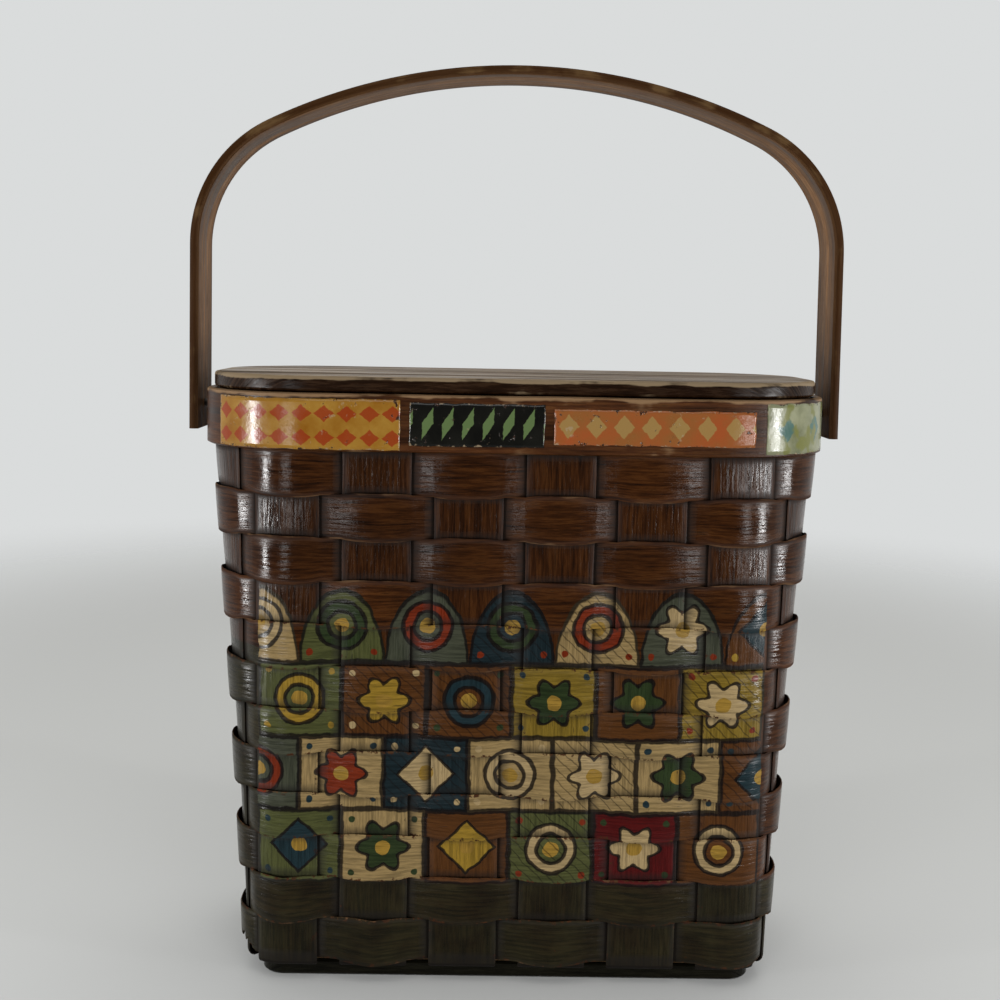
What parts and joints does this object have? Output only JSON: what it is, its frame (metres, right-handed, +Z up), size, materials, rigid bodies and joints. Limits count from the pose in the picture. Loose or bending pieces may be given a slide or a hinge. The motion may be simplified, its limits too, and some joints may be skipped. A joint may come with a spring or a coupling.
{
  "type": "basket purse",
  "caption": "Woven wood splint basket purse with a flat hinged lid, a bentwood rim hoop and a bentwood handle that swings on side pivots.",
  "frame": {"origin": "middle of the base board's underside", "axes": "+X to the right seen from the front, +Y from the front to the hinged back, +Z up"},
  "size_m": [0.2768, 0.1287, 0.3801],
  "materials": {
    "splint": "stained and varnished",
    "hoop": "stained and varnished",
    "lid_wood": "dark stain, varnished",
    "handle_wood": "stained and varnished",
    "base_wood": "dark stain, worn",
    "panel_wood": "bare, slightly stained",
    "brass": "tarnished",
    "steel": "satin",
    "black_steel": "matt black"
  },
  "bodies": {
    "body": {"base_board": "base_wood", "floor_panel": "panel_wood", "stake_01": "splint", "stake_02": "splint", "stake_03": "splint", "stake_04": "splint", "stake_05": "splint", "stake_06": "splint", "stake_07": "splint", "stake_08": "splint", "stake_09": "splint", "stake_10": "splint", "stake_11": "splint", "stake_12": "splint", "stake_13": "splint", "stake_14": "splint", "stake_15": "splint", "stake_16": "splint", "stake_17": "splint", "stake_18": "splint", "weaver_01": "splint", "weaver_02": "splint", "weaver_03": "splint", "weaver_04": "splint", "weaver_05": "splint", "weaver_06": "splint", "weaver_07": "splint", "weaver_08": "splint", "weaver_09": "splint", "weaver_10": "splint", "weaver_11": "splint", "weaver_12": "splint", "outer_rim_hoop": "hoop", "inner_rim_hoop": "hoop", "hinge_rim_leaf_left": "brass", "hinge_rim_leaf_right": "brass", "hinge_pin_left": "brass", "hinge_pin_right": "brass", "hinge_rim_screw_left_1": "brass", "hinge_rim_screw_left_2": "brass", "hinge_rim_screw_right_1": "brass", "hinge_rim_screw_right_2": "brass", "pivot_bolt_left": "steel", "pivot_bolt_right": "steel", "pivot_washer_left": "black_steel", "pivot_washer_right": "black_steel", "pivot_nut_left": "steel", "pivot_nut_right": "steel"},
    "lid": {"lid": "lid_wood", "hinge_lid_leaf_left": "brass", "hinge_lid_leaf_right": "brass", "hinge_lid_screw_left_1": "brass", "hinge_lid_screw_left_2": "brass", "hinge_lid_screw_right_1": "brass", "hinge_lid_screw_right_2": "brass"},
    "handle": {"handle": "handle_wood"}
  },
  "joints": [
    {"name": "lid_hinge", "type": "hinge", "parent": "body", "child": "lid", "pos_m": [0, 0.0645, 0.24365], "axis": [-1, 0, 0], "range_deg": [0, 110]},
    {"name": "handle_swing", "type": "hinge", "parent": "body", "child": "handle", "pos_m": [0, 0, 0.2355], "axis": [1, 0, 0], "range_deg": [-140, 140]}
  ]
}
